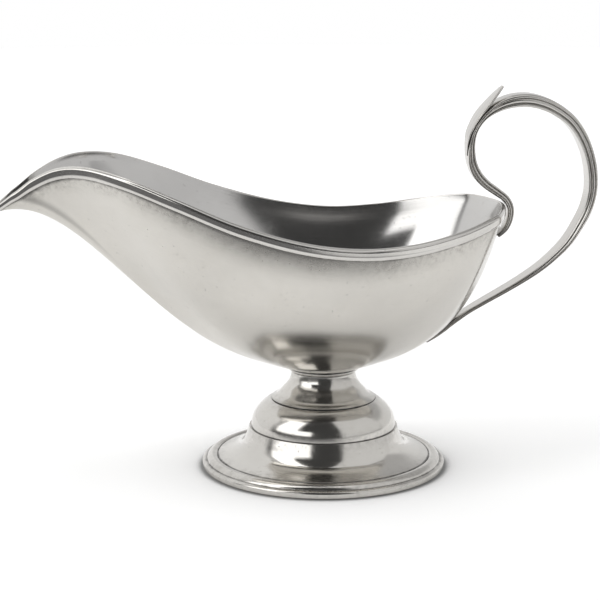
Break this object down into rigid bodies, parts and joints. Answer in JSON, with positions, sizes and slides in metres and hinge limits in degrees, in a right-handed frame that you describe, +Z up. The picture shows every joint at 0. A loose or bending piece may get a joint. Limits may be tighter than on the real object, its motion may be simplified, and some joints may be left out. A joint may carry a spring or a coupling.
{
  "type": "pedestal sauce boat",
  "caption": "Pewter sauce boat: a boat-shaped bowl with a drooping pour lip and reeded rim, on a turned pedestal foot, with a high looped strap handle and thumb leaf.",
  "frame": {"origin": "foot axis at table height", "axes": "+Z up; -X towards the pour lip, +X towards the handle; +Y across the bowl"},
  "size_m": [0.2359, 0.0976, 0.1498],
  "materials": {
    "pewter_bowl": "satin pewter, burnished inside",
    "pewter_foot": "turned and burnished pewter",
    "pewter_handle": "cast pewter, hand finished"
  },
  "bodies": {
    "root": {"bowl": "pewter_bowl", "rim_moulding": "pewter_bowl", "foot_collar": "pewter_foot", "foot_neck": "pewter_foot", "foot_dome": "pewter_foot", "foot_base": "pewter_foot", "handle_strap": "pewter_handle", "thumb_leaf": "pewter_handle"}
  },
  "joints": []
}
